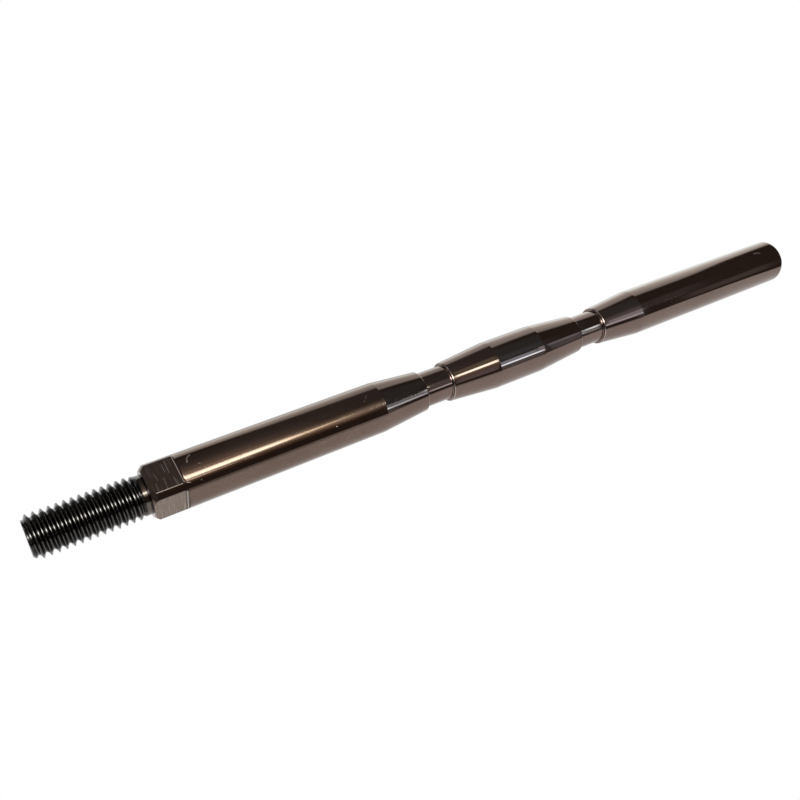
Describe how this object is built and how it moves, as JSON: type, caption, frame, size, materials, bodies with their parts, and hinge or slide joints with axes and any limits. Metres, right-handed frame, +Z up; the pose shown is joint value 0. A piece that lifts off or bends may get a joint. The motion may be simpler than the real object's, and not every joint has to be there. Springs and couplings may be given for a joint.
{
  "type": "stepped shaft",
  "caption": "One-piece turned shaft with a threaded end, a square for a wrench, two waisted necks between tapers and a plain rounded end.",
  "frame": {"origin": "centre of the shoulder that seats against the mating part, on the shaft's axis", "axes": "+X along the axis from the shoulder to the plain end, the thread points along -X, +Z up"},
  "size_m": [0.18, 0.01, 0.01],
  "materials": {
    "black_nickel": "polished, dark smoky nickel"
  },
  "bodies": {
    "root": {"shaft": "black_nickel"}
  },
  "joints": []
}
